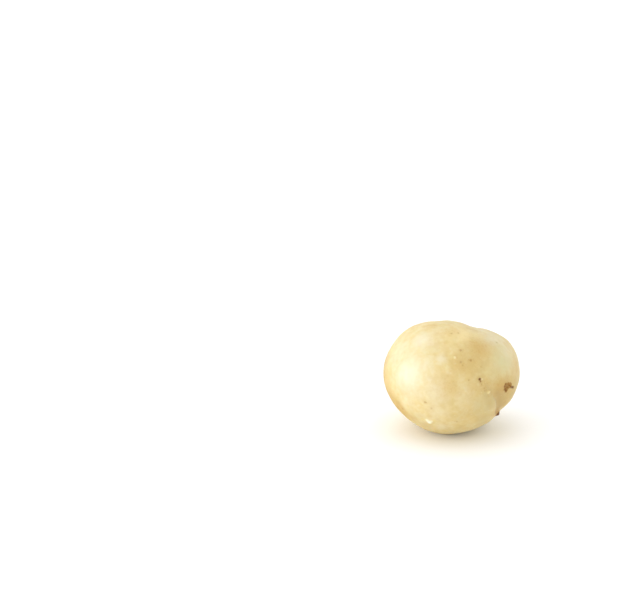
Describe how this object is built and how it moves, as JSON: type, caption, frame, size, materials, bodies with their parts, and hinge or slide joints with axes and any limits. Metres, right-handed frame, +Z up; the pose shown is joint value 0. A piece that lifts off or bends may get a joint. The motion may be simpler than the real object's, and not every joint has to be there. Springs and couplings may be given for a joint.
{
  "type": "macadamia kernel",
  "caption": "Whole shelled macadamia kernel, a waxy ivory near-round seed with a shallow furrow beside its middle, lying on a small flat spot.",
  "frame": {"origin": "middle of the base of the kernel's box, level with the flat it rests on", "axes": "+X across the kernel to the side of its smaller lobe, its longest way; +Y from its front to its back; +Z up, its shortest way"},
  "size_m": [0.019, 0.0174, 0.0157],
  "materials": {
    "nut_flesh": "waxy satin ivory nut flesh, mottled tan, with a few small brown specks and one brown scab"
  },
  "bodies": {
    "root": {"kernel": "nut_flesh"}
  },
  "joints": []
}
